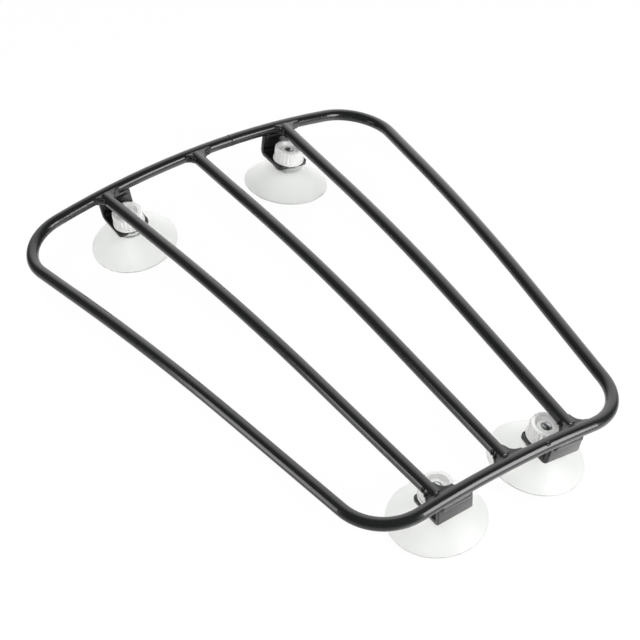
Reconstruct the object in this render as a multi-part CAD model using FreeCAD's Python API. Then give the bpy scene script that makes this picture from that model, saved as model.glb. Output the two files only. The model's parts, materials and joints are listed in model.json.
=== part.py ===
"""Rigid motorcycle fender rack: a welded rod grid on four suction cups.

Millimetres. +X runs from the wide end to the narrow end, +Y to the left, +Z up.
The origin is below the middle of the rack, on the surface that the cups stand on.
"""
import FreeCAD, Part
import math
import os

Vec = FreeCAD.Vector

# --- Rods -------------------------------------------------------------------
ROD_DIAMETER = 8.0
CORNER_TO_CORNER = 342.0      # between the outline's sharp corners, along X
WIDE_HALF = 140.2             # half width at the sharp corners, rod axis
NARROW_HALF = 87.0
WIDE_CORNER_RADIUS = 30.2
NARROW_CORNER_RADIUS = 32.1
WIDE_BOW = 2.1                # middle of the wide crossbar lies outside its ends
NARROW_HOLLOW = 0.1           # middle of the narrow crossbar lies inside its ends
WIDE_SETBACK = 2.6            # crossbar ends lie this far outside the sharp corners
NARROW_SETBACK = 1.3
WIDE_CROWN_RADIUS = 580.0     # the deck is crowned across its width
NARROW_CROWN_RADIUS = 475.0
BEND_X = -15.7                # the long rods' shallow bend, from the middle of the outline
BEND_ANGLE = 7.18
BEND_RADIUS = 1194.0
INNER_WIDE_Y = 69.7           # outer pair of inner rods, at the sharp corners' X
INNER_NARROW_Y = 46.1

# --- Welds ------------------------------------------------------------------
ROOT_GAP = 0.3                # an inner rod's end stops this short of the crossbar
BRACKET_ROOT_GAP = 1.0        # a bracket's upright flange stops this short of the crossbar
WEB_LEG = 7.0                 # reach of the larger bead from the corner of a rod joint
SMALL_BEAD_LEG = 3.0
WEB_THICKNESS = 5.0
BUTT_WELD_Y = 29.0            # where the outer rod is closed, on the wide crossbar
BUTT_WELD_RAISE = 0.35        # how far it stands proud of the rod
BUTT_WELD_LENGTH = 2.4
BRACKET_BEAD_RADIUS = 2.9
BRACKET_BEAD_INSET = 2.0      # the bead stops this far inside each side of the bracket

# --- Brackets ---------------------------------------------------------------
PLATE = 3.0
BRACKET_WIDTH = 23.0
BRACKET_DROP = 20.2           # crossbar axis down to the underside of the fork
FORK_REACH = 24.0             # crossbar axis to the tips of the fork
INNER_BEND_RADIUS = 1.5
FORK_TIP_RADIUS = 3.0
SLOT_CLEARANCE = 1.0          # slot width over the stud's diameter
SLOT_BACK_GAP = 0.8           # stud to the round end of the slot, at rest
WIDE_BRACKET_Y = 65.0
NARROW_BRACKET_Y = 39.6
BRACKET_SHIFT_Y = 2.4         # both pairs sit a little to the left of the middle

# --- Stud, cup and thumb nut ------------------------------------------------
STUD_DIAMETER = 6.0
STUD_INSET = 16.5             # crossbar axis to stud axis
STUD_HEAD_DIAMETER = 12.0
STUD_HEAD_THICKNESS = 2.0
STUD_HEAD_COVER = 1.6         # cup material under the stud's head
STUD_TIP_CHAMFER = 0.8
CUP_DIAMETER = 58.0
CUP_HEIGHT = 16.3             # rim to the underside of the fork
CUP_RIM_THICKNESS = 0.9
CUP_RIM_LAND = 1.8            # width of the flat ring on the rim
CUP_HOLLOW_DEPTH = 8.6
CUP_HOLLOW_TOP_DIAMETER = 12.0
CUP_NECK_DIAMETER = 19.4
CUP_FLANK_BULGE = 0.8
COLLAR_DIAMETER = 21.0
COLLAR_THICKNESS = 2.4
NUT_DIAMETER = 20.0
NUT_HEIGHT = 9.5
NUT_BASE_DIAMETER = 21.4
NUT_BASE_THICKNESS = 1.3
NUT_DISH_DIAMETER = 14.5
NUT_DISH_DEPTH = 2.5
NUT_DISH_DRAFT = 0.8
NUT_EDGE_RADIUS = 0.8
NUT_RING_DIAMETER = 10.4      # raised ring in the dish, round the stud's end
NUT_RING_HEIGHT = 0.7
FLUTES = 24
FLUTE_RADIUS = 0.9
FLUTE_DEPTH = 0.6
INSERT_DIAMETER = 9.0
INSERT_COVER = 0.6            # nut plastic over the top of the insert
STUD_END_ABOVE_DISH = 1.2
RUNNING_FIT = 0.05            # clearance of stud in insert and insert in nut
NUT_BORE_CLEARANCE = 0.3      # radial, stud to the nut's plastic above the insert

ROD = ROD_DIAMETER / 2
SIDE_TAPER = math.atan((WIDE_HALF - NARROW_HALF) / CORNER_TO_CORNER)
SLOT_WIDTH = STUD_DIAMETER + SLOT_CLEARANCE
FORK_TOP = PLATE - BRACKET_DROP
UP = Vec(0, 0, 1)

# Corner name: end (-1 wide, +1 narrow), side (+1 left), lean outwards and lean towards
# the end in degrees, as the four hand-welded brackets hang.
CORNERS = {
    "wide_left": (-1, 1, 9.0, 0.0),
    "wide_right": (-1, -1, 8.0, -2.0),
    "narrow_left": (1, 1, 8.0, 7.0),
    "narrow_right": (1, -1, 2.5, 1.0),
}
STANDING_CUPS = ("wide_left", "wide_right", "narrow_left")


# --- Deck surface and centre lines --------------------------------------------
def outline_half(x):
    """Half width of the sharp-cornered outline at x."""
    share = x / CORNER_TO_CORNER + 0.5
    return WIDE_HALF + (NARROW_HALF - WIDE_HALF) * share


def deck_z(x, y):
    """Height of the rod axes before the bend is rounded: two planes, crowned across."""
    share = x / CORNER_TO_CORNER + 0.5
    crown = (1 - share) / WIDE_CROWN_RADIUS + share / NARROW_CROWN_RADIUS
    slope = math.tan(math.radians(BEND_ANGLE / 2))
    return -slope * abs(x - BEND_X) - crown * y * y / 2


def deck_point(x, y):
    return Vec(x, y, deck_z(x, y))


def tangent_length(end):
    """Sharp corner to the start of its rounding, at the wide (-1) or narrow (+1) end."""
    radius = WIDE_CORNER_RADIUS if end < 0 else NARROW_CORNER_RADIUS
    return radius * math.tan((math.pi / 2 - end * SIDE_TAPER) / 2)


class Crossbar:
    """Centre line of a crossbar: one circular arc in a tilted plane."""

    def __init__(self, end):
        setback, bow = (WIDE_SETBACK, WIDE_BOW) if end < 0 else (NARROW_SETBACK, -NARROW_HOLLOW)
        self.half = (WIDE_HALF if end < 0 else NARROW_HALF) - tangent_length(end)
        end_x = end * (CORNER_TO_CORNER / 2 + setback)
        self.middle = deck_point(end_x + end * bow, 0)
        drop = deck_point(end_x, self.half) - self.middle
        drop.y = 0
        self.down = Vec(drop).normalize()
        self.radius = (self.half ** 2 + drop.Length ** 2) / (2 * drop.Length)

    def point(self, y):
        sag = self.radius - math.sqrt(self.radius ** 2 - y * y)
        return self.middle + self.down * sag + Vec(0, y, 0)

    def tangent(self, y):
        """Unit tangent towards +Y."""
        slope = y / math.sqrt(self.radius ** 2 - y * y)
        return (self.down * slope + Vec(0, 1, 0)).normalize()

    def edge(self):
        points = [self.point(y) for y in (-self.half, 0, self.half)]
        return Part.Arc(*points).toShape()


def arc_edge(start, corner, finish):
    """Arc that leaves start towards corner and reaches finish coming from corner."""
    chord = finish - start
    middle = (start + finish) / 2
    half_turn = (corner - start).getAngle(chord)
    rise = chord.Length / 2 * math.tan(half_turn / 2)
    top = middle + (corner - middle).normalize() * rise
    return Part.Arc(start, top, finish).toShape()


def corner_edges(start, leaving, finish, arriving):
    """Two arcs that join two directions in space without a kink."""
    gap = finish - start
    total = leaving + arriving
    a = total.dot(total) - 4
    b = -2 * gap.dot(total)
    reach = (-b - math.sqrt(b * b - 4 * a * gap.dot(gap))) / (2 * a)
    first = start + leaving * reach
    second = finish - arriving * reach
    joint = (first + second) / 2
    return [arc_edge(start, first, joint), arc_edge(joint, second, finish)]


def long_rod_points(start_x, start_y, finish_x, finish_y):
    """Start, bend and finish of a long rod's centre line."""
    share = (BEND_X - start_x) / (finish_x - start_x)
    bend_y = start_y + (finish_y - start_y) * share
    return [deck_point(start_x, start_y), deck_point(BEND_X, bend_y), deck_point(finish_x, finish_y)]


def bent_edges(start, bend, finish):
    """Straight, arc, straight."""
    first = (bend - start).normalize()
    second = (finish - bend).normalize()
    reach = BEND_RADIUS * math.tan(first.getAngle(second) / 2)
    before = bend - first * reach
    after = bend + second * reach
    straight_in = Part.makeLine(start, before)
    straight_out = Part.makeLine(after, finish)
    return [straight_in, arc_edge(before, bend, after), straight_out]


def side_points(side):
    """Start, bend and finish of the outer rod's long side, between its corners."""
    start_x = -CORNER_TO_CORNER / 2 + tangent_length(-1) * math.cos(SIDE_TAPER)
    finish_x = CORNER_TO_CORNER / 2 - tangent_length(1) * math.cos(SIDE_TAPER)
    start_y = side * outline_half(start_x)
    finish_y = side * outline_half(finish_x)
    return long_rod_points(start_x, start_y, finish_x, finish_y)


def loop_edges():
    """Closed centre line of the outer rod."""
    wide = Crossbar(-1)
    narrow = Crossbar(1)
    edges = [wide.edge(), narrow.edge()]
    for side in (1, -1):
        start, bend, finish = side_points(side)
        y_wide = side * wide.half
        y_narrow = side * narrow.half
        leaving = wide.tangent(y_wide) * side
        arriving = narrow.tangent(y_narrow) * -side
        edges += corner_edges(wide.point(y_wide), leaving, start, (bend - start).normalize())
        edges += bent_edges(start, bend, finish)
        edges += corner_edges(finish, (finish - bend).normalize(), narrow.point(y_narrow), arriving)
    return edges


def inner_rod_points(lane):
    """Start, bend and finish of an inner rod; lane is +1 left, 0 centre, -1 right."""
    slope = (INNER_NARROW_Y - INNER_WIDE_Y) / CORNER_TO_CORNER
    ends = []
    for end in (-1, 1):
        bar = Crossbar(end)
        y = lane * (INNER_WIDE_Y + slope * (bar.middle.x + CORNER_TO_CORNER / 2))
        ends.append(bar.point(y))
    (start, finish) = ends
    share = (BEND_X - start.x) / (finish.x - start.x)
    bend_y = start.y + (finish.y - start.y) * share
    return [start, deck_point(BEND_X, bend_y), finish]


# --- Rods ---------------------------------------------------------------------
def rod_piece(edge):
    """Round rod along one straight or circular edge."""
    start = edge.valueAt(edge.FirstParameter)
    direction = edge.tangentAt(edge.FirstParameter)
    if isinstance(edge.Curve, Part.Line):
        return Part.makeCylinder(ROD, edge.Length, start, direction)
    disc = Part.Face(Part.Wire(Part.makeCircle(ROD, start, direction)))
    angle = math.degrees(edge.Length / edge.Curve.Radius)
    return disc.revolve(edge.Curve.Center, edge.Curve.Axis, angle)


def rod(edges):
    pieces = [rod_piece(edge) for edge in edges]
    return pieces[0].multiFuse(pieces[1:]).removeSplitter()


def inner_rod(lane):
    """Inner rod, cut square a root gap short of both crossbars."""
    start, bend, finish = inner_rod_points(lane)
    trim = ROD + ROOT_GAP
    start = start + (bend - start).normalize() * trim
    finish = finish + (bend - finish).normalize() * trim
    return rod(bent_edges(start, bend, finish))


# --- Welds --------------------------------------------------------------------
def joint_bead(corner, along, across, neighbours):
    """Weld in both corners of a rod joint: a plate with two hollow sides, thinner than
    the rods, with the rods taken out of it. The bead on the left is the larger one."""
    normal = across.cross(along).normalize()
    base = corner - normal * (WEB_THICKNESS / 2)

    def at(x, y):
        return base + along * x + across * y

    small = ROD + SMALL_BEAD_LEG
    large = ROD + WEB_LEG
    small_waist = ROD + SMALL_BEAD_LEG * (1 - math.sqrt(0.5))
    large_waist = ROD + WEB_LEG * (1 - math.sqrt(0.5))
    outline = [
        Part.makeLine(at(0, large), at(0, -small)),
        Part.makeLine(at(0, -small), at(ROD, -small)),
        Part.Arc(at(ROD, -small), at(small_waist, -small_waist), at(small, -ROD)).toShape(),
        Part.makeLine(at(small, -ROD), at(large, ROD)),
        Part.Arc(at(large, ROD), at(large_waist, large_waist), at(ROD, large)).toShape(),
        Part.makeLine(at(ROD, large), at(0, large)),
    ]
    return Part.Face(Part.Wire(outline)).extrude(normal * WEB_THICKNESS).cut(neighbours)


def rod_weld_beads(loop, inner_rods):
    """Six joint beads and the outer rod's own butt weld."""
    beads = []
    for lane, piece in inner_rods.items():
        start, bend, finish = inner_rod_points(lane)
        for end, here in ((-1, start), (1, finish)):
            along = (bend - here).normalize()
            tangent = Crossbar(end).tangent(here.y)
            across = (tangent - along * tangent.dot(along)).normalize()
            beads += joint_bead(here, along, across, [loop, piece]).Solids
    wide = Crossbar(-1)
    centre = wide.point(BUTT_WELD_Y)
    tangent = wide.tangent(BUTT_WELD_Y)
    foot = centre - tangent * (BUTT_WELD_LENGTH / 2)
    ring = Part.makeCylinder(ROD + BUTT_WELD_RAISE, BUTT_WELD_LENGTH, foot, tangent)
    return Part.makeCompound(beads + ring.cut(loop).Solids)


# --- Corner frame ---------------------------------------------------------------
def corner_placement(name):
    """Local frame of a corner: origin on the crossbar's axis, +X along the slot towards
    the middle of the rack, +Z along the stud."""
    end, side, lean_out, lean_over = CORNERS[name]
    reach = WIDE_BRACKET_Y if end < 0 else NARROW_BRACKET_Y
    origin = Crossbar(end).point(side * reach + BRACKET_SHIFT_Y)
    up_x = end * math.sin(math.radians(lean_over))
    up_y = side * math.sin(math.radians(lean_out))
    up = Vec(up_x, up_y, 1).normalize()
    inward = Vec(-end, 0, 0)
    inward = (inward - up * inward.dot(up)).normalize()
    rotation = FreeCAD.Rotation(inward, up.cross(inward), up, "ZXY")
    return FreeCAD.Placement(origin, rotation)


def place(shape, name):
    return shape.transformed(corner_placement(name).toMatrix())


def revolve_profile(points):
    """Solid of revolution about Z from points (radius, height)."""
    corners = [Vec(radius, 0, height) for radius, height in points]
    wire = Part.makePolygon(corners + corners[:1])
    return Part.Face(wire).revolve(Vec(0, 0, 0), UP, 360)


# --- Bracket --------------------------------------------------------------------
def bracket_side():
    """Side view of the bent plate, in the corner's XZ plane."""
    outside = -PLATE / 2
    inside = PLATE / 2
    top = -(ROD + BRACKET_ROOT_GAP)
    bottom = -BRACKET_DROP
    outer_radius = INNER_BEND_RADIUS + PLATE
    middle = Vec(outside + outer_radius, 0, bottom + outer_radius)
    diagonal = Vec(-1, 0, -1).normalize()
    outer_bend = Part.Arc(
        Vec(outside, 0, middle.z), middle + diagonal * outer_radius, Vec(middle.x, 0, bottom))
    inner_bend = Part.Arc(
        Vec(middle.x, 0, FORK_TOP), middle + diagonal * INNER_BEND_RADIUS, Vec(inside, 0, middle.z))
    edges = [
        Part.makeLine(Vec(outside, 0, top), Vec(outside, 0, middle.z)),
        outer_bend.toShape(),
        Part.makeLine(Vec(middle.x, 0, bottom), Vec(FORK_REACH, 0, bottom)),
        Part.makeLine(Vec(FORK_REACH, 0, bottom), Vec(FORK_REACH, 0, FORK_TOP)),
        Part.makeLine(Vec(FORK_REACH, 0, FORK_TOP), Vec(middle.x, 0, FORK_TOP)),
        inner_bend.toShape(),
        Part.makeLine(Vec(inside, 0, middle.z), Vec(inside, 0, top)),
        Part.makeLine(Vec(inside, 0, top), Vec(outside, 0, top)),
    ]
    return Part.Face(Part.Wire(edges))


def bracket():
    """Bent plate with an open slot for the stud and rounded fork tips."""
    plate = bracket_side()
    plate.translate(Vec(0, -BRACKET_WIDTH / 2, 0))
    plate = plate.extrude(Vec(0, BRACKET_WIDTH, 0))
    slot_end = STUD_INSET + SLOT_CLEARANCE / 2 - SLOT_BACK_GAP
    depth = 2 * PLATE
    floor = -BRACKET_DROP - PLATE / 2
    round_end = Part.makeCylinder(SLOT_WIDTH / 2, depth, Vec(slot_end, 0, floor))
    channel = Part.makeBox(
        FORK_REACH, SLOT_WIDTH, depth, Vec(slot_end, -SLOT_WIDTH / 2, floor))
    fork = plate.cut(round_end.fuse(channel))
    return fork.makeFillet(FORK_TIP_RADIUS, fork_tip_edges(fork))


def fork_tip_edges(fork):
    """The four upright edges at the tips of the fork's arms."""
    upright = [edge for edge in fork.Edges if abs(edge.Length - PLATE) < 1e-6]
    return [edge for edge in upright if abs(edge.CenterOfMass.x - FORK_REACH) < 1e-6]


def bracket_bead(name, neighbours):
    """Weld under the crossbar, on both faces of the bracket's upright flange."""
    length = BRACKET_WIDTH - 2 * BRACKET_BEAD_INSET
    start = Vec(0, -length / 2, -(ROD + BRACKET_ROOT_GAP))
    bead = Part.makeCylinder(BRACKET_BEAD_RADIUS, length, start, Vec(0, 1, 0))
    return place(bead, name).cut(neighbours)


# --- Stud, cup and nut ------------------------------------------------------------
def rim_z():
    return -BRACKET_DROP - CUP_HEIGHT


def stud():
    """Threaded stud with a flat head that is moulded into the cup."""
    head_bottom = rim_z() + CUP_HOLLOW_DEPTH + STUD_HEAD_COVER
    top = FORK_TOP + NUT_HEIGHT - NUT_DISH_DEPTH + STUD_END_ABOVE_DISH
    radius = STUD_DIAMETER / 2
    head_radius = STUD_HEAD_DIAMETER / 2
    head_top = head_bottom + STUD_HEAD_THICKNESS
    shape = revolve_profile([
        (0, head_bottom),
        (head_radius, head_bottom),
        (head_radius, head_top),
        (radius, head_top),
        (radius, top - STUD_TIP_CHAMFER),
        (radius - STUD_TIP_CHAMFER, top),
        (0, top),
    ])
    shape.translate(Vec(STUD_INSET, 0, 0))
    return shape


def suction_cup(post):
    """Soft bell with a collar on top; the stud is moulded in."""
    rim = rim_z()
    outer = CUP_DIAMETER / 2
    land = outer - CUP_RIM_LAND
    neck = CUP_NECK_DIAMETER / 2
    collar = COLLAR_DIAMETER / 2
    shoulder = -BRACKET_DROP - COLLAR_THICKNESS
    lip = rim + CUP_RIM_THICKNESS
    hollow_top = rim + CUP_HOLLOW_DEPTH
    hollow_radius = CUP_HOLLOW_TOP_DIAMETER / 2
    flank = Vec(outer, 0, lip) + Vec(neck, 0, shoulder)
    outward = Vec(shoulder - lip, 0, outer - neck).normalize()
    flank_middle = flank / 2 + outward * CUP_FLANK_BULGE
    edges = [
        Part.makeLine(Vec(0, 0, hollow_top), Vec(hollow_radius, 0, hollow_top)),
        Part.makeLine(Vec(hollow_radius, 0, hollow_top), Vec(land, 0, rim)),
        Part.makeLine(Vec(land, 0, rim), Vec(outer, 0, rim)),
        Part.makeLine(Vec(outer, 0, rim), Vec(outer, 0, lip)),
        Part.Arc(Vec(outer, 0, lip), flank_middle, Vec(neck, 0, shoulder)).toShape(),
        Part.makeLine(Vec(neck, 0, shoulder), Vec(collar, 0, shoulder)),
        Part.makeLine(Vec(collar, 0, shoulder), Vec(collar, 0, -BRACKET_DROP)),
        Part.makeLine(Vec(collar, 0, -BRACKET_DROP), Vec(0, 0, -BRACKET_DROP)),
        Part.makeLine(Vec(0, 0, -BRACKET_DROP), Vec(0, 0, hollow_top)),
    ]
    bell = Part.Face(Part.Wire(edges)).revolve(Vec(0, 0, 0), UP, 360)
    bell.translate(Vec(STUD_INSET, 0, 0))
    return bell.cut(post)


def nut_insert():
    """Threaded metal bush in the foot of the thumb nut."""
    height = NUT_HEIGHT - NUT_DISH_DEPTH - INSERT_COVER - RUNNING_FIT
    foot = Vec(STUD_INSET, 0, FORK_TOP)
    bush = Part.makeCylinder(INSERT_DIAMETER / 2, height, foot)
    return bush.cut(Part.makeCylinder(STUD_DIAMETER / 2 + RUNNING_FIT, height, foot))


def nut_knob():
    """Clear fluted thumb nut with a dished top and a wider foot."""
    outer = NUT_DIAMETER / 2
    base = NUT_BASE_DIAMETER / 2
    dish = NUT_DISH_DIAMETER / 2
    dish_floor = NUT_HEIGHT - NUT_DISH_DEPTH
    ring = NUT_RING_DIAMETER / 2
    bore = STUD_DIAMETER / 2 + NUT_BORE_CLEARANCE
    seat = INSERT_DIAMETER / 2 + RUNNING_FIT
    seat_top = dish_floor - INSERT_COVER
    knob = revolve_profile([
        (seat, 0),
        (base, 0),
        (base, NUT_BASE_THICKNESS),
        (outer, NUT_BASE_THICKNESS),
        (outer, NUT_HEIGHT - NUT_EDGE_RADIUS),
        (outer - NUT_EDGE_RADIUS, NUT_HEIGHT),
        (dish, NUT_HEIGHT),
        (dish - NUT_DISH_DRAFT, dish_floor),
        (ring, dish_floor),
        (ring, dish_floor + NUT_RING_HEIGHT),
        (bore, dish_floor + NUT_RING_HEIGHT),
        (bore, seat_top),
        (seat, seat_top),
    ])
    knob = knob.cut(flute_cutters())
    knob.translate(Vec(STUD_INSET, 0, FORK_TOP))
    return knob


def flute_cutters():
    """Upright cylinders that scallop the nut's side."""
    radius = NUT_DIAMETER / 2 + FLUTE_RADIUS - FLUTE_DEPTH
    cutters = []
    for index in range(FLUTES):
        angle = 2 * math.pi * index / FLUTES
        centre = Vec(radius * math.cos(angle), radius * math.sin(angle), NUT_BASE_THICKNESS)
        cutters.append(Part.makeCylinder(FLUTE_RADIUS, NUT_HEIGHT, centre))
    return cutters


# --- Assembly -----------------------------------------------------------------------
def build():
    """All nodes, before the origin is set."""
    loop = rod(loop_edges())
    lanes = {1: "left", 0: "centre", -1: "right"}
    inner_rods = {lane: inner_rod(lane) for lane in lanes}
    nodes = {"outer_loop_rod": loop}
    for lane, label in lanes.items():
        nodes["inner_rod_" + label] = inner_rods[lane]
    nodes["rod_weld_beads"] = rod_weld_beads(loop, inner_rods)
    post = stud()
    pieces = {
        "bracket": bracket(),
        "suction_cup": suction_cup(post),
        "stud": post,
        "nut_insert": nut_insert(),
        "nut_knob": nut_knob(),
    }
    beads = []
    for name in CORNERS:
        for piece, shape in pieces.items():
            nodes[piece + "_" + name] = place(shape, name)
        neighbours = [loop, nodes["bracket_" + name], nodes["rod_weld_beads"]]
        beads += bracket_bead(name, neighbours).Solids
    nodes["bracket_weld_beads"] = Part.makeCompound(beads)
    return nodes


def rim_low_point(name):
    """Lowest point of a corner's cup rim."""
    frame = corner_placement(name)
    centre = frame.multVec(Vec(STUD_INSET, 0, rim_z()))
    axis = frame.Rotation.multVec(UP)
    downhill = (axis * axis.z - UP).normalize()
    return centre + downhill * (CUP_DIAMETER / 2)


def standing_rotation():
    """Turn that sets the three standing cups' rims level with each other."""
    first, second, third = [rim_low_point(name) for name in STANDING_CUPS]
    normal = (second - first).cross(third - first).normalize()
    if normal.z < 0:
        normal = -normal
    return FreeCAD.Rotation(normal, UP)


def standing_nodes():
    """All nodes, standing on the ground plane with the origin under their middle."""
    turn = FreeCAD.Placement(Vec(0, 0, 0), standing_rotation()).toMatrix()
    nodes = {name: shape.transformed(turn) for name, shape in build().items()}
    box = Part.makeCompound(list(nodes.values())).optimalBoundingBox(False, False)
    shift = Vec(-(box.XMin + box.XMax) / 2, -(box.YMin + box.YMax) / 2, -box.ZMin)
    return {name: shape.translated(shift) for name, shape in nodes.items()}


def main():
    os.makedirs("parts", exist_ok=True)
    for name, shape in standing_nodes().items():
        shape.exportStep("parts/" + name + ".step")


main()
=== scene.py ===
"""Black wire rack for a motorcycle's fender, standing on four clear suction cups. Metres."""
import json
import math

import bpy
from mathutils import Matrix, Vector


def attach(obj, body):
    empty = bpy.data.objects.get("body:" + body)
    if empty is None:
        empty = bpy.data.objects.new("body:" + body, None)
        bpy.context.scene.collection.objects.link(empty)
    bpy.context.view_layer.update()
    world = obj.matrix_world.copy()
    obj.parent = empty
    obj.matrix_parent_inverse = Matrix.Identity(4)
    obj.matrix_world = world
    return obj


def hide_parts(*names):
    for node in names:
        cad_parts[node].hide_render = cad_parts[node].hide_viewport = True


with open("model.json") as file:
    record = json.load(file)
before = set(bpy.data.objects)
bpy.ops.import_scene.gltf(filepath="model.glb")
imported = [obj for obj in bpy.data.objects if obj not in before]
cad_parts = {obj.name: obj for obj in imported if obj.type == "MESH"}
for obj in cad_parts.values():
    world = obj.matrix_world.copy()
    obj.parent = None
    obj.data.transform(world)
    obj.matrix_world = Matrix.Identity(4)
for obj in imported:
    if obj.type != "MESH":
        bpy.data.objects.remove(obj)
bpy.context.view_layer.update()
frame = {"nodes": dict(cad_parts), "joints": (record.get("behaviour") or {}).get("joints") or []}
scene = bpy.context.scene


# --- Rods -----------------------------------------------------------------------
# Solid 8 mm mild steel rod: one closed loop and three inner rods, bent cold and welded.
# The welded rack is powder coated gloss black in one go, over rods, welds and brackets.
DEEP_BLACK = "#0d0e0e"
SCUFFED_BLACK = "#1a1b1b"
HANDLING_PATCH = 0.024
HAZE_PATCH = 0.006


def linear(colour):
    """sRGB hex to linear red, green, blue and alpha."""
    shares = [int(colour[start:start + 2], 16) / 255 for start in (1, 3, 5)]
    return [s / 12.92 if s <= 0.04045 else ((s + 0.055) / 1.055) ** 2.4 for s in shares] + [1]


def add(tree, kind, sockets, **settings):
    """A node with its settings; a socket takes a value or another node's output."""
    node = tree.nodes.new(kind)
    for name, value in settings.items():
        setattr(node, name, value)
    for key, value in sockets.items():
        if isinstance(value, bpy.types.NodeSocket):
            tree.links.new(value, node.inputs[key])
        else:
            node.inputs[key].default_value = value
    return node


def bare_material(name):
    material = bpy.data.materials.new(name)
    material.use_nodes = True
    material.node_tree.nodes.clear()
    return material, material.node_tree


def powder_coat(name, wave, depth):
    """Gloss black powder coat: a plastic skin baked on. It is deep black with sharp lights
    that waver a little, and it has a faint haze where hands and straps have rubbed.
    Its ripple is about 1 mm from crest to crest; wave draws it up to twice that, to show."""
    material, tree = bare_material(name)
    place = add(tree, "ShaderNodeTexCoord", {}).outputs["Object"]
    handling = add(tree, "ShaderNodeTexNoise",
                   {"Vector": place, "Scale": 1 / HANDLING_PATCH, "Detail": 3})
    colour = add(tree, "ShaderNodeMix",
                 {0: handling.outputs["Fac"], 6: linear(DEEP_BLACK), 7: linear(SCUFFED_BLACK)},
                 data_type="RGBA")
    haze = add(tree, "ShaderNodeTexNoise",
               {"Vector": place, "Scale": 1 / HAZE_PATCH, "Detail": 2})
    gloss = add(tree, "ShaderNodeMapRange",
                {"Value": haze.outputs["Fac"], "To Min": 0.13, "To Max": 0.25})
    peel = add(tree, "ShaderNodeTexNoise", {"Vector": place, "Scale": 1 / wave, "Detail": 1})
    ripple = add(tree, "ShaderNodeBump",
                 {"Height": peel.outputs["Fac"], "Strength": 1, "Distance": depth})
    skin = add(tree, "ShaderNodeBsdfPrincipled", {
        "Base Color": colour.outputs[2],
        "Roughness": gloss.outputs["Result"],
        "IOR": 1.5,
        "Normal": ripple.outputs["Normal"],
    })
    add(tree, "ShaderNodeOutputMaterial", {"Surface": skin.outputs["BSDF"]})
    return material


rod_coat = powder_coat("gloss_black_powder_coat_on_rod", 0.0022, 0.000006)
INNER_RODS = ("inner_rod_left", "inner_rod_centre", "inner_rod_right")
for rod in ("outer_loop_rod", *INNER_RODS):
    frame["nodes"][rod].material_slots[0].material = rod_coat


# --- Rod welds --------------------------------------------------------------------
# MIG beads that fill the corners where the inner rods meet the loop, and a ring where the
# loop itself is closed. Under the coat they are soft lumps that flow into the rods, with
# the last ripples of each bead still standing on one side of its joint.
ROD_RADIUS = 0.004
WELD_GRAIN = 0.0004
WELD_SWELL = 0.0005
WELD_MELT = 20
JOINT_BLOCK = (0.03, 0.032, 0.02)
JOINT_REACH = 0.003
CLOSING_LOW, CLOSING_HIGH = 0.02, 0.04
CLOSING_RING = (0.0034, 0.0008)
PIP_RING = (0.0011, 0.0004)
PIP_Y = 0.025
PIP_ANGLE = 55
PIP_HEIGHT = 0.0039
LUMP_SIZE = 0.003
LUMP_HEIGHT = 0.0002
RIPPLE_GRAIN = 0.00025
RIPPLE_STEP = 0.0022
RIPPLE_RADIUS = 0.0015
RIPPLE_STRETCH = (0.8, 0.8, 1.4)
RIPPLE_PROUD = 0.0003
bead_coat = powder_coat("gloss_black_powder_coat_on_weld", 0.0012, 0.00004)


def only(piece):
    """Makes a piece the one thing that the next operator works on."""
    bpy.ops.object.select_all(action="DESELECT")
    piece.select_set(True)
    bpy.context.view_layer.objects.active = piece


def change(piece, kind, **settings):
    """Gives a piece one modifier and applies it."""
    only(piece)
    modifier = piece.modifiers.new(kind.lower(), kind)
    for name, value in settings.items():
        setattr(modifier, name, value)
    bpy.ops.object.modifier_apply(modifier=modifier.name)


def pick(piece, kind, wanted):
    """Selects the parts of a piece that pass a test and leaves it in edit mode."""
    only(piece)
    bpy.ops.object.mode_set(mode="EDIT")
    bpy.ops.mesh.select_mode(type=kind)
    bpy.ops.mesh.select_all(action="DESELECT")
    bpy.ops.object.mode_set(mode="OBJECT")
    mesh = piece.data
    parts = {"VERT": mesh.vertices, "EDGE": mesh.edges, "FACE": mesh.polygons}[kind]
    for part in parts:
        part.select = wanted(part)
    bpy.ops.object.mode_set(mode="EDIT")


def merged_copy(name, node):
    """A copy of a CAD node with its loose faces merged into one skin."""
    piece = bpy.data.objects.new(name, frame["nodes"][node].data.copy())
    scene.collection.objects.link(piece)
    piece.data.materials.clear()
    only(piece)
    bpy.ops.object.mode_set(mode="EDIT")
    bpy.ops.mesh.select_all(action="SELECT")
    bpy.ops.mesh.remove_doubles(threshold=1e-6)
    bpy.ops.object.mode_set(mode="OBJECT")
    return piece


def melted(piece, rounds, swell, grain=WELD_GRAIN):
    """Melts beads into soft lumps and swells them until they sink into the rods."""
    change(piece, "REMESH", mode="VOXEL", voxel_size=grain)
    change(piece, "SMOOTH", factor=0.5, iterations=rounds)
    bpy.ops.object.mode_set(mode="EDIT")
    bpy.ops.mesh.select_all(action="SELECT")
    bpy.ops.transform.shrink_fatten(value=swell)
    bpy.ops.object.mode_set(mode="OBJECT")


def coated_weld(piece, node):
    """Coats a finished bead and puts it in place of the CAD node's beads."""
    bpy.ops.object.shade_smooth()
    piece.data.materials.append(bead_coat)
    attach(piece, "frame")
    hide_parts(node)


def small_ring(name, centre, turn, size):
    """A thin round bead, bent to a ring and half sunk in the rod."""
    wide, thick = size
    bpy.ops.object.select_all(action="DESELECT")
    bpy.ops.mesh.primitive_torus_add(major_segments=64, minor_segments=16, major_radius=wide,
                                     minor_radius=thick, location=centre, rotation=turn)
    ring = bpy.context.object
    ring.name = ring.data.name = name
    bpy.ops.object.transform_apply(location=True, rotation=True, scale=True)
    change(ring, "DISPLACE", texture=lumps, texture_coords="LOCAL", strength=LUMP_HEIGHT)
    coated_weld(ring, "rod_weld_beads")


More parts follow.
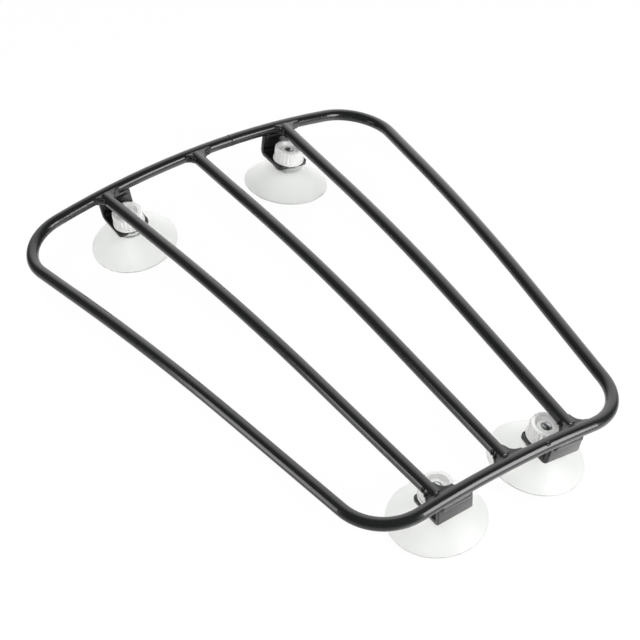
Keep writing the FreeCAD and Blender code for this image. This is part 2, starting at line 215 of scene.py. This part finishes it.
def on_closing_ring(vertex):
    """The ring where the loop closes lies between two inner rods, away from their beads."""
    return vertex.co.x < 0 and CLOSING_LOW < vertex.co.y < CLOSING_HIGH


rod_weld = merged_copy("rod_weld", "rod_weld_beads")
pick(rod_weld, "VERT", on_closing_ring)
bpy.ops.mesh.separate(type="SELECTED")
bpy.ops.object.mode_set(mode="OBJECT")
ring = next(part for part in bpy.context.selected_objects if part is not rod_weld)
spots = [vertex.co for vertex in ring.data.vertices]
closing = sum(spots, Vector()) / len(spots)
bpy.data.objects.remove(ring)


def rod_end(rod, end):
    """Middle of an inner rod's end face, at the wide (-1) or narrow (+1) crossbar."""
    spots = [vertex.co for vertex in frame["nodes"][rod].data.vertices]
    last = max(end * spot.x for spot in spots)
    face = [spot for spot in spots if end * spot.x > last - 0.001]
    return sum(face, Vector()) / len(face)


# A short length of every rod is cut out round each joint and melted together with its
# beads, so that the weld runs out smoothly into the round of the rods.
all_rods = merged_copy("all_rods", "outer_loop_rod")
for rod in INNER_RODS:
    merged_copy("rod_copy", rod).select_set(True)
    all_rods.select_set(True)
    bpy.context.view_layer.objects.active = all_rods
    bpy.ops.object.join()
joints_cut = []
for rod in INNER_RODS:
    for end in (-1, 1):
        spot = rod_end(rod, end) + Vector((end * JOINT_REACH, 0, 0))
        bpy.ops.object.select_all(action="DESELECT")
        bpy.ops.mesh.primitive_cube_add(size=1, location=spot, scale=JOINT_BLOCK)
        block = bpy.context.object
        bpy.ops.object.transform_apply(location=True, rotation=True, scale=True)
        change(block, "BOOLEAN", operation="INTERSECT", solver="EXACT", object=all_rods)
        joints_cut.append(block)
bpy.data.objects.remove(all_rods)
pick(rod_weld, "FACE", lambda face: True)
bpy.ops.transform.shrink_fatten(value=WELD_SWELL)
bpy.ops.object.mode_set(mode="OBJECT")
for block in joints_cut:
    block.select_set(True)
bpy.ops.object.join()
rod_weld.data.materials.clear()
melted(rod_weld, WELD_MELT, 0)
coated_weld(rod_weld, "rod_weld_beads")

# Each bead ends on its joint's right-hand side and leaves three ripples standing there.
bpy.context.view_layer.update()
ripples = []
for rod in INNER_RODS:
    for end in (-1, 1):
        corner = rod_end(rod, end) + Vector((-end * JOINT_REACH, -ROD_RADIUS, 0))
        out = Vector((-end, -1, 0.9)).normalized()
        along = Vector((end, -1, 0)).normalized()
        for step in (-1, 0, 1):
            start = corner + along * step * RIPPLE_STEP + out * 0.01
            foot = rod_weld.ray_cast(start, -out)[1]
            bpy.ops.object.select_all(action="DESELECT")
            bpy.ops.mesh.primitive_ico_sphere_add(
                subdivisions=3, radius=RIPPLE_RADIUS, location=foot + out * RIPPLE_PROUD,
                scale=RIPPLE_STRETCH)
            ripple = bpy.context.object
            bpy.ops.object.transform_apply(location=True, rotation=True, scale=True)
            ripples.append(ripple)
for ripple in ripples:
    ripple.select_set(True)
bpy.ops.object.join()
ripples = bpy.context.object
ripples.name = ripples.data.name = "weld_ripples"
melted(ripples, 1, 0, RIPPLE_GRAIN)
coated_weld(ripples, "rod_weld_beads")

lumps = bpy.data.textures.new("weld_lumps", "CLOUDS")
lumps.noise_scale = LUMP_SIZE
small_ring("butt_weld", closing, (math.radians(90), 0, 0), CLOSING_RING)

# A spatter ring has stayed on the front of the narrow crossbar, between two joints.
loop_spots = [vertex.co for vertex in frame["nodes"]["outer_loop_rod"].data.vertices]
near_pip = [spot for spot in loop_spots if spot.x > 0.1 and abs(spot.y - PIP_Y) < 0.006]
bar_middle = sum(near_pip, Vector()) / len(near_pip)
bar_middle.y = PIP_Y
lift = math.radians(PIP_ANGLE)
foot = bar_middle + Vector((math.cos(lift), 0, math.sin(lift))) * PIP_HEIGHT
small_ring("weld_pip", foot, (0, math.radians(90 - PIP_ANGLE), 0), PIP_RING)


# --- Brackets ---------------------------------------------------------------------
# Four tabs of 3 mm steel strip, 23 mm wide: slotted for the stud, folded to an L, and
# welded upright under the crossbars. Sheared edges, just broken by the coat.
# Their sizes, and those of all that is fitted to them, are in millimetres from the seat.
MM = 0.001
HAIR = 0.01
CORNERS = ("wide_left", "wide_right", "narrow_left", "narrow_right")
PLATE = 3.0
HALF_WIDTH = 11.5
FOLD_X = -13.5
FOLD_Z = 1.5
FLANGE_TOP = 12.2
FORK_TIP = 7.5
SLOT_END = -0.3
SLOT_RADIUS = 3.5
TIP_RADIUS = 3.0
PUNCH_STROKE = 12
BROKEN_EDGE = 0.4
joints = {joint["name"]: joint for joint in frame["joints"]}


def seat(corner):
    """A corner's seat: X along the slot, Z up the stud, origin on top of the fork."""
    turn = joints["nut_turn_" + corner]
    up = Vector(turn["axis"]).normalized()
    along = Vector(joints["cup_slide_" + corner]["axis"]).normalized()
    place = Matrix((along, up.cross(along), up)).transposed().to_4x4()
    place.translation = turn["pos_m"]
    return place


def fit_corners(pattern, node, body):
    """Copies a finished piece into the four seats, in place of the CAD nodes there."""
    for corner in CORNERS:
        piece = pattern.copy()
        piece.data = pattern.data.copy()
        piece.name = piece.data.name = f"{pattern.name}_{corner}"
        piece.data.transform(seat(corner))
        scene.collection.objects.link(piece)
        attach(piece, body if body == "frame" else f"{body}_{corner}")
        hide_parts(f"{node}_{corner}")
    bpy.data.objects.remove(pattern)


def solid_block(name, low, high):
    """A cube primitive between two corners, in seat millimetres, its place in its mesh."""
    low, high = Vector(low) * MM, Vector(high) * MM
    bpy.ops.object.select_all(action="DESELECT")
    bpy.ops.mesh.primitive_cube_add(size=1, location=(low + high) / 2, scale=high - low)
    piece = bpy.context.object
    piece.name = piece.data.name = name
    bpy.ops.object.transform_apply(location=True, rotation=True, scale=True)
    return piece


tab = solid_block("bracket_tab", (FOLD_X, -HALF_WIDTH, -PLATE), (FORK_TIP, HALF_WIDTH, 0))
pick(tab, "FACE", lambda face: face.normal.x < -0.9)
bpy.ops.mesh.spin(steps=10, angle=math.radians(-90), center=(FOLD_X * MM, 0, FOLD_Z * MM),
                  axis=(0, 1, 0))
bpy.ops.mesh.extrude_region_move(
    TRANSFORM_OT_translate={"value": (0, 0, (FLANGE_TOP - FOLD_Z) * MM)})
bpy.ops.mesh.select_all(action="SELECT")
bpy.ops.mesh.remove_doubles(threshold=1e-7)
bpy.ops.mesh.normals_make_consistent(inside=False)
bpy.ops.object.mode_set(mode="OBJECT")

# The slot: a round punch drawn out to a long one, past the end of the fork.
bpy.ops.object.select_all(action="DESELECT")
bpy.ops.mesh.primitive_cylinder_add(vertices=64, radius=SLOT_RADIUS * MM, depth=3 * PLATE * MM,
                                    location=(SLOT_END * MM, 0, -PLATE / 2 * MM))
punch = bpy.context.object
bpy.ops.object.transform_apply(location=True, rotation=False, scale=False)
pick(punch, "VERT", lambda vertex: vertex.co.x > (SLOT_END + HAIR) * MM)
bpy.ops.transform.translate(value=(PUNCH_STROKE * MM, 0, 0))
bpy.ops.object.mode_set(mode="OBJECT")
change(tab, "BOOLEAN", operation="DIFFERENCE", solver="EXACT", object=punch)
bpy.data.objects.remove(punch)


def at_tip(edge):
    """The fork's four upright corner edges."""
    ends = [tab.data.vertices[index].co for index in edge.vertices]
    upright = abs(ends[0].z - ends[1].z) > 0.9 * PLATE * MM
    return upright and min(end.x for end in ends) > (FORK_TIP - HAIR) * MM


pick(tab, "EDGE", at_tip)
bpy.ops.mesh.bevel(offset=TIP_RADIUS * MM, segments=8, affect="EDGES")
bpy.ops.object.mode_set(mode="OBJECT")
change(tab, "BEVEL", width=BROKEN_EDGE * MM, segments=3, limit_method="ANGLE",
       angle_limit=math.radians(40))
bpy.ops.object.shade_smooth_by_angle(angle=math.radians(35))
tab.data.materials.append(powder_coat("gloss_black_powder_coat_on_plate", 0.0026, 0.000012))
fit_corners(tab, "bracket", "frame")


# --- Bracket welds ----------------------------------------------------------------
# One bead along the top of each upright tab, where it meets the crossbar. It is MIG weld
# metal like that of the rods' joints, and coated with the rest.
TAB_WELD_MELT = 6
TAB_WELD_SWELL = 0.0004

bracket_weld = merged_copy("bracket_weld", "bracket_weld_beads")
melted(bracket_weld, TAB_WELD_MELT, TAB_WELD_SWELL)
coated_weld(bracket_weld, "bracket_weld_beads")


# --- Studs ------------------------------------------------------------------------
# M6 zinc plated screw with a flat head that the cup is moulded round. Rolled thread, so
# its crests are bright and its roots grey; the cut end shows in the nut's dish.
STUD_RADIUS = 3.0
THREAD_PITCH = 1.0
THREAD_DEPTH = 0.55
HEAD_RADIUS = 6.0
HEAD_LOW = -9.1
HEAD_TOP = -7.1
STUD_TOP = 8.2
THREAD_FOOT = HEAD_TOP + 0.6
THREAD_LENGTH = STUD_TOP - 1.2 - THREAD_FOOT
CREST_EDGE = 0.03
TOOL_MARK = 0.000008


def turned(name, profile, segments, hole=False):
    """A turned piece: a circle at the first radius and height, drawn out ring by ring.
    With a hole the last ring joins the first, and without one both ends are closed."""
    radius, height = profile[0]
    fill = "NOTHING" if hole else "NGON"
    bpy.ops.object.select_all(action="DESELECT")
    bpy.ops.mesh.primitive_circle_add(vertices=segments, radius=radius * MM, fill_type=fill,
                                      location=(0, 0, height * MM))
    piece = bpy.context.object
    piece.name = piece.data.name = name
    bpy.ops.object.transform_apply(location=True, rotation=False, scale=False)
    bpy.ops.object.mode_set(mode="EDIT")
    bpy.ops.mesh.select_mode(type="EDGE")
    bpy.ops.mesh.select_all(action="SELECT")
    for wider, higher in profile[1:] + (profile[:1] if hole else []):
        grow = wider / radius
        bpy.ops.mesh.extrude_edges_move()
        bpy.ops.transform.resize(value=(grow, grow, 1), center_override=(0, 0, height * MM))
        bpy.ops.transform.translate(value=(0, 0, (higher - height) * MM))
        radius, height = wider, higher
    if not hole:
        bpy.ops.mesh.edge_face_add()
    bpy.ops.mesh.select_all(action="SELECT")
    bpy.ops.mesh.remove_doubles(threshold=1e-7)
    bpy.ops.mesh.normals_make_consistent(inside=False)
    bpy.ops.object.mode_set(mode="OBJECT")
    return piece


def plated_steel(name, bright, dull, grain):
    """Zinc plated steel: a thin bluish grey metal skin, matt in its spangle and bright where
    it has rubbed. The spangle is a tenth of a millimetre wide; grain is ten times that, to
    show."""
    material, tree = bare_material(name)
    place = add(tree, "ShaderNodeTexCoord", {}).outputs["Object"]
    spangle = add(tree, "ShaderNodeTexNoise", {"Vector": place, "Scale": 1 / grain, "Detail": 4})
    colour = add(tree, "ShaderNodeMix",
                 {0: spangle.outputs["Fac"], 6: linear(dull), 7: linear(bright)},
                 data_type="RGBA")
    rough = add(tree, "ShaderNodeMapRange",
                {"Value": spangle.outputs["Fac"], "To Min": 0.38, "To Max": 0.2})
    tooling = add(tree, "ShaderNodeBump", {
        "Height": spangle.outputs["Fac"],
        "Strength": 1,
        "Distance": TOOL_MARK,
    })
    skin = add(tree, "ShaderNodeBsdfPrincipled", {
        "Base Color": colour.outputs[2],
        "Metallic": 1,
        "Roughness": rough.outputs["Result"],
        "Normal": tooling.outputs["Normal"],
    })
    add(tree, "ShaderNodeOutputMaterial", {"Surface": skin.outputs["BSDF"]})
    return material


# Each turn of the thread is a ring of crest, root and two flanks.
thread = []
for turn in range(int(THREAD_LENGTH / THREAD_PITCH)):
    foot = THREAD_FOOT + turn * THREAD_PITCH
    thread += [
        (STUD_RADIUS, foot),
        (STUD_RADIUS - THREAD_DEPTH, foot + 0.45 * THREAD_PITCH),
        (STUD_RADIUS - THREAD_DEPTH, foot + 0.55 * THREAD_PITCH),
        (STUD_RADIUS, foot + 0.9 * THREAD_PITCH),
    ]
stud = turned("plated_stud", [
    (HEAD_RADIUS - 0.3, HEAD_LOW),
    (HEAD_RADIUS, HEAD_LOW + 0.3),
    (HEAD_RADIUS, HEAD_TOP - 0.3),
    (HEAD_RADIUS - 0.3, HEAD_TOP),
    (STUD_RADIUS, HEAD_TOP),
    *thread,
    (STUD_RADIUS, STUD_TOP - 0.8),
    (STUD_RADIUS - 0.7, STUD_TOP - 0.1),
    (STUD_RADIUS - 0.9, STUD_TOP),
], 48)
change(stud, "BEVEL", width=CREST_EDGE * MM, segments=1, limit_method="ANGLE",
       angle_limit=math.radians(40))
bpy.ops.object.shade_smooth_by_angle(angle=math.radians(30))
stud.data.materials.append(plated_steel("zinc_plated_rolled_thread", "#d9dcdd", "#7e8284", 0.0009))
fit_corners(stud, "stud", "cup")


# --- Suction cups -----------------------------------------------------------------
# Bells of clear soft PVC, injection moulded over the stud's head, 58 mm across the rim.
# The bell thins to a lip of under a millimetre and stands on a narrow flat ring.
CUP_RADIUS = 29.0
RIM_Z = -19.3
LIP = 0.9
LAND = 1.8
HOLLOW_TOP = -10.7
HOLLOW_RADIUS = 6.0
SHOULDER_Z = -5.4
NECK_RADIUS = 9.7
COLLAR_RADIUS = 10.5
FLANK_BULGE = 0.8
FLANK_OUT = (0.56, 0.83)
FLANK_STEPS = 8


def clear_plastic(name, clear, hazy, clearness, index, smooth, rough, wave, depth):
    """Moulded clear plastic: see-through and a little milky, with soft lights on a skin
    that waves faintly, wave metres from crest to crest and depth metres deep."""
    material, tree = bare_material(name)
    place = add(tree, "ShaderNodeTexCoord", {}).outputs["Object"]
    flow = add(tree, "ShaderNodeTexNoise",
               {"Vector": place, "Scale": 1 / wave, "Detail": 2, "Distortion": 0.6})
    colour = add(tree, "ShaderNodeMix",
                 {0: flow.outputs["Fac"], 6: linear(clear), 7: linear(hazy)},
                 data_type="RGBA")
    gloss = add(tree, "ShaderNodeMapRange",
                {"Value": flow.outputs["Fac"], "To Min": smooth, "To Max": rough})
    swell = add(tree, "ShaderNodeBump",
                {"Height": flow.outputs["Fac"], "Strength": 1, "Distance": depth})
    skin = add(tree, "ShaderNodeBsdfPrincipled", {
        "Base Color": colour.outputs[2],
        "Roughness": gloss.outputs["Result"],
        "IOR": index,
        "Transmission Weight": clearness,
        "Normal": swell.outputs["Normal"],
    })
    add(tree, "ShaderNodeOutputMaterial", {"Surface": skin.outputs["BSDF"]})
    return material


flank = []
for step in range(FLANK_STEPS + 1):
    share = step / FLANK_STEPS
    swell = 4 * share * (1 - share) * FLANK_BULGE
    flank.append((
        CUP_RADIUS + (NECK_RADIUS - CUP_RADIUS) * share + FLANK_OUT[0] * swell,
        RIM_Z + LIP + (SHOULDER_Z - RIM_Z - LIP) * share + FLANK_OUT[1] * swell,
    ))
cup = turned("clear_cup", [
    (HOLLOW_RADIUS - 1.5, HOLLOW_TOP),
    (HOLLOW_RADIUS, HOLLOW_TOP - 0.2),
    (HOLLOW_RADIUS + 1.2, HOLLOW_TOP - 0.6),
    (CUP_RADIUS - LAND, RIM_Z),
    (CUP_RADIUS - 0.25, RIM_Z),
    (CUP_RADIUS, RIM_Z + 0.25),
    *flank,
    (NECK_RADIUS, SHOULDER_Z + 0.2),
    (COLLAR_RADIUS - 0.3, SHOULDER_Z + 0.2),
    (COLLAR_RADIUS, SHOULDER_Z + 0.5),
    (COLLAR_RADIUS, -PLATE - 0.3),
    (COLLAR_RADIUS - 0.3, -PLATE),
], 128)
bpy.ops.object.shade_smooth_by_angle(angle=math.radians(40))
cup.data.materials.append(clear_plastic(
    "clear_soft_moulded_pvc", "#fafbf9", "#f1f3f0", 0.8, 1.47, 0.3, 0.42, 0.009, 0.00002))
fit_corners(cup, "suction_cup", "cup")


# --- Nut inserts ------------------------------------------------------------------
# Knurled steel bushes with an M6 thread, pressed hot into the nuts; they show through.
BUSH_RADIUS = 4.5
BUSH_BORE = 3.05
BUSH_HEIGHT = 6.35
KNURLS = 24
KNURL_DEPTH = 0.06

bush = turned("knurled_bush", [
    (BUSH_RADIUS, 0.3),
    (BUSH_RADIUS, 2.6),
    (BUSH_RADIUS - 0.4, 2.9),
    (BUSH_RADIUS - 0.4, 3.5),
    (BUSH_RADIUS, 3.8),
    (BUSH_RADIUS, BUSH_HEIGHT - 0.3),
    (BUSH_RADIUS - 0.3, BUSH_HEIGHT),
    (BUSH_BORE + 0.3, BUSH_HEIGHT),
    (BUSH_BORE, BUSH_HEIGHT - 0.3),
    (BUSH_BORE, 0.3),
    (BUSH_BORE + 0.3, 0),
    (BUSH_RADIUS - 0.3, 0),
], 2 * KNURLS, hole=True)


def on_knurl(vertex):
    """Every second vertex round the bush, which the knurling tool has pushed in."""
    turn = math.atan2(vertex.co.y, vertex.co.x) / math.tau * 2 * KNURLS
    return round(turn) % 2 == 0 and math.hypot(*vertex.co.xy) > (BUSH_RADIUS - HAIR) * MM


pick(bush, "VERT", on_knurl)
knurl = 1 - KNURL_DEPTH
bpy.ops.transform.resize(value=(knurl, knurl, 1), center_override=(0, 0, 0))
bpy.ops.object.mode_set(mode="OBJECT")
bpy.ops.object.shade_smooth_by_angle(angle=math.radians(25))
bush.data.materials.append(plated_steel("zinc_plated_knurled_bush", "#dfe0de", "#8f918f", 0.0012))
fit_corners(bush, "nut_insert", "insert")


# --- Thumb nuts -------------------------------------------------------------------
# Clear hard acrylic, injection moulded: 24 shallow flutes for the fingers, a thin flange at
# the foot, and a dished top with a raised ring where the stud comes through.
NUT_RADIUS = 10.0
NUT_HEIGHT = 9.5
FOOT_RADIUS = 10.7
FOOT_HEIGHT = 1.3
DISH_RADIUS = 7.25
DISH_FLOOR = 7.0
RING_RADIUS = 5.2
NUT_BORE = 3.3
FLUTES = 24
FLUTE_DEPTHS = ((0, 0.6), (1, 0.49))

knob = turned("thumb_nut", [
    (BUSH_RADIUS + 0.05, 0),
    (FOOT_RADIUS - 0.2, 0),
    (FOOT_RADIUS, 0.2),
    (FOOT_RADIUS, FOOT_HEIGHT - 0.3),
    (FOOT_RADIUS - 0.3, FOOT_HEIGHT),
    (NUT_RADIUS, FOOT_HEIGHT),
    (NUT_RADIUS, NUT_HEIGHT - 0.8),
    (NUT_RADIUS - 0.15, NUT_HEIGHT - 0.35),
    (NUT_RADIUS - 0.7, NUT_HEIGHT),
    (DISH_RADIUS + 0.25, NUT_HEIGHT),
    (DISH_RADIUS - 0.05, NUT_HEIGHT - 0.3),
    (DISH_RADIUS - 0.8, DISH_FLOOR + 0.3),
    (DISH_RADIUS - 1.1, DISH_FLOOR),
    (RING_RADIUS + 0.2, DISH_FLOOR),
    (RING_RADIUS, DISH_FLOOR + 0.2),
    (RING_RADIUS, DISH_FLOOR + 0.5),
    (RING_RADIUS - 0.2, DISH_FLOOR + 0.7),
    (NUT_BORE, DISH_FLOOR + 0.7),
    (NUT_BORE, BUSH_HEIGHT + 0.05),
    (BUSH_RADIUS + 0.05, BUSH_HEIGHT + 0.05),
], 6 * FLUTES, hole=True)


def in_flute(offset):
    """Tests for the vertices of the fluted side that lie offset steps from a flute's middle."""
    def wanted(vertex):
        step = round(math.atan2(vertex.co.y, vertex.co.x) / math.tau * 6 * FLUTES) % 6
        side = math.hypot(*vertex.co.xy) > (NUT_RADIUS - 0.2) * MM
        tall = FOOT_HEIGHT - HAIR < vertex.co.z / MM < NUT_HEIGHT - 0.2
        inside = math.hypot(*vertex.co.xy) < (NUT_RADIUS + HAIR) * MM
        return side and tall and inside and min(step, 6 - step) == offset
    return wanted


for offset, depth in FLUTE_DEPTHS:
    pick(knob, "VERT", in_flute(offset))
    shrink = 1 - depth / NUT_RADIUS
    bpy.ops.transform.resize(value=(shrink, shrink, 1), center_override=(0, 0, 0))
    bpy.ops.object.mode_set(mode="OBJECT")
bpy.ops.object.shade_smooth_by_angle(angle=math.radians(40))
knob.data.materials.append(clear_plastic(
    "clear_moulded_acrylic", "#fdfdfc", "#f4f5f3", 0.25, 1.49, 0.08, 0.2, 0.004, 0.00002))
fit_corners(knob, "nut_knob", "nut")


# --- Studio -----------------------------------------------------------------------
# White table in a white tent, brightest behind the rack and low in front of it, and dark
# above and beside the camera, which gives the gloss black rods their dark middles. One
# soft box in front and one beside it draw the thin lights along them.
# Each wall: azimuth and elevation of its middle, where it starts and is full, and strength.
TENT_BACK = ((140, 25), 0.55, 0.97, 1.75)
TENT_FRONT = ((35, -45), 0.7, 1, 1.2)
TENT_FLOOR = ((0, -90), -0.1, 0.5, 0.8)
TENT_CLOTH = 0.17
TABLE_GLOW = 0.93
TABLE_SIZE = 8


def direction(azimuth, elevation):
    """Unit vector at an azimuth from +X towards +Y and an elevation, in degrees."""
    a, e = math.radians(azimuth), math.radians(elevation)
    return Vector((math.cos(e) * math.cos(a), math.cos(e) * math.sin(a), math.sin(e)))


def greater(tree, one, other):
    """The larger of two outputs."""
    return add(tree, "ShaderNodeMath", {0: one, 1: other}, operation="MAXIMUM").outputs["Value"]


def tent_wall(tree, towards, start, full, strength):
    """Brightness of one wall of the tent, by how nearly a ray points at its middle."""
    around = add(tree, "ShaderNodeTexCoord", {}).outputs["Generated"]
    facing = add(tree, "ShaderNodeVectorMath", {0: around, 1: direction(*towards)},
                 operation="DOT_PRODUCT")
    wall = add(tree, "ShaderNodeMapRange", {
        "Value": facing.outputs["Value"],
        "From Min": start,
        "From Max": full,
        "To Max": strength,
    }, interpolation_type="SMOOTHSTEP")
    return wall.outputs["Result"]


bpy.ops.object.select_all(action="DESELECT")
bpy.ops.mesh.primitive_plane_add(size=TABLE_SIZE, location=(0, 0, -0.0001))
table_top = bpy.context.object
table_top.name = "table_top"
# Matt white laminate: plain and even, and a little shadow is all that the rack leaves on
# it. The black rods mirror the tent below it and not the table.
white, tree = bare_material("matt_white_laminate")
seen = add(tree, "ShaderNodeLightPath", {})
shown = greater(tree, seen.outputs["Is Camera Ray"], seen.outputs["Is Transmission Ray"])
share = add(tree, "ShaderNodeMath", {0: shown, 1: TABLE_GLOW}, operation="MULTIPLY")
matt = add(tree, "ShaderNodeBsdfDiffuse", {"Color": linear("#fafafa")})
glow = add(tree, "ShaderNodeEmission", {"Color": linear("#ffffff"), "Strength": 1})
top = add(tree, "ShaderNodeMixShader", {
    0: share.outputs["Value"],
    1: matt.outputs["BSDF"],
    2: glow.outputs["Emission"],
})
open_air = add(tree, "ShaderNodeBsdfTransparent", {})
blend = add(tree, "ShaderNodeMixShader", {
    0: seen.outputs["Is Glossy Ray"],
    1: top.outputs["Shader"],
    2: open_air.outputs["BSDF"],
})
add(tree, "ShaderNodeOutputMaterial", {"Surface": blend.outputs["Shader"]})
table_top.data.materials.append(white)

world = bpy.data.worlds.new("studio")
world.use_nodes = True
scene.world = world
tree = world.node_tree
tree.nodes.clear()
walls = add(tree, "ShaderNodeMath", {
    0: tent_wall(tree, *TENT_BACK),
    1: tent_wall(tree, *TENT_FRONT),
}, operation="ADD")
strength = add(tree, "ShaderNodeMath", {
    0: walls.outputs["Value"],
    1: tent_wall(tree, *TENT_FLOOR),
}, operation="ADD")
strength = add(tree, "ShaderNodeMath",
               {0: strength.outputs["Value"], 1: TENT_CLOTH}, operation="ADD")
tent = add(tree, "ShaderNodeBackground",
           {"Color": linear("#ffffff"), "Strength": strength.outputs["Value"]})
backdrop = add(tree, "ShaderNodeBackground", {"Color": linear("#ffffff"), "Strength": 1})
seen = add(tree, "ShaderNodeLightPath", {})
blend = add(tree, "ShaderNodeMixShader", {
    0: greater(tree, seen.outputs["Is Camera Ray"], seen.outputs["Is Transmission Ray"]),
    1: tent.outputs["Background"],
    2: backdrop.outputs["Background"],
})
add(tree, "ShaderNodeOutputWorld", {"Surface": blend.outputs["Shader"]})


def soft_box(name, azimuth, elevation, distance, width, height, watts, mirrored=True):
    """An area lamp aimed at the rack, out of the camera's sight. A lamp that isn't mirrored
    fills the pale pieces and leaves no glint on the black ones."""
    lamp = bpy.data.lights.new(name, "AREA")
    lamp.shape = "RECTANGLE"
    lamp.size, lamp.size_y, lamp.energy = width, height, watts
    holder = bpy.data.objects.new(name, lamp)
    out = direction(azimuth, elevation)
    holder.location = out * distance
    holder.rotation_mode = "QUATERNION"
    holder.rotation_quaternion = out.to_track_quat("Z", "Y")
    holder.visible_camera = False
    holder.visible_glossy = mirrored
    scene.collection.objects.link(holder)


soft_box("front_box", 23, 17, 1.05, 0.5, 0.72, 11)
soft_box("low_side_box", -106, 4, 0.85, 0.26, 0.6, 2.2)
soft_box("overhead_box", -60, 60, 1.6, 1.2, 1.2, 16, mirrored=False)

# The camera stands over the narrow end, off to the right, on a long lens.
AZIMUTH, ELEVATION, ROLL = -31.775, 41.222, -1.934
DISTANCE, ASIDE, RAISED = 1.04793, -0.00878, 0.01466
FOCAL_LENGTH = 93.594

back = direction(AZIMUTH, ELEVATION)
level = (-back).cross(Vector((0, 0, 1))).normalized()
upright = level.cross(-back)
turn = math.radians(ROLL)
right = level * math.cos(turn) + upright * math.sin(turn)
top = upright * math.cos(turn) - level * math.sin(turn)
lens = bpy.data.cameras.new("camera")
lens.lens = FOCAL_LENGTH
lens.sensor_width = 36
camera = bpy.data.objects.new("camera", lens)
camera.matrix_world = Matrix.LocRotScale(
    back * DISTANCE + level * ASIDE + upright * RAISED,
    Matrix((right, top, back)).transposed().to_quaternion(), None)
scene.collection.objects.link(camera)
scene.camera = camera
scene.view_settings.view_transform = "Standard"
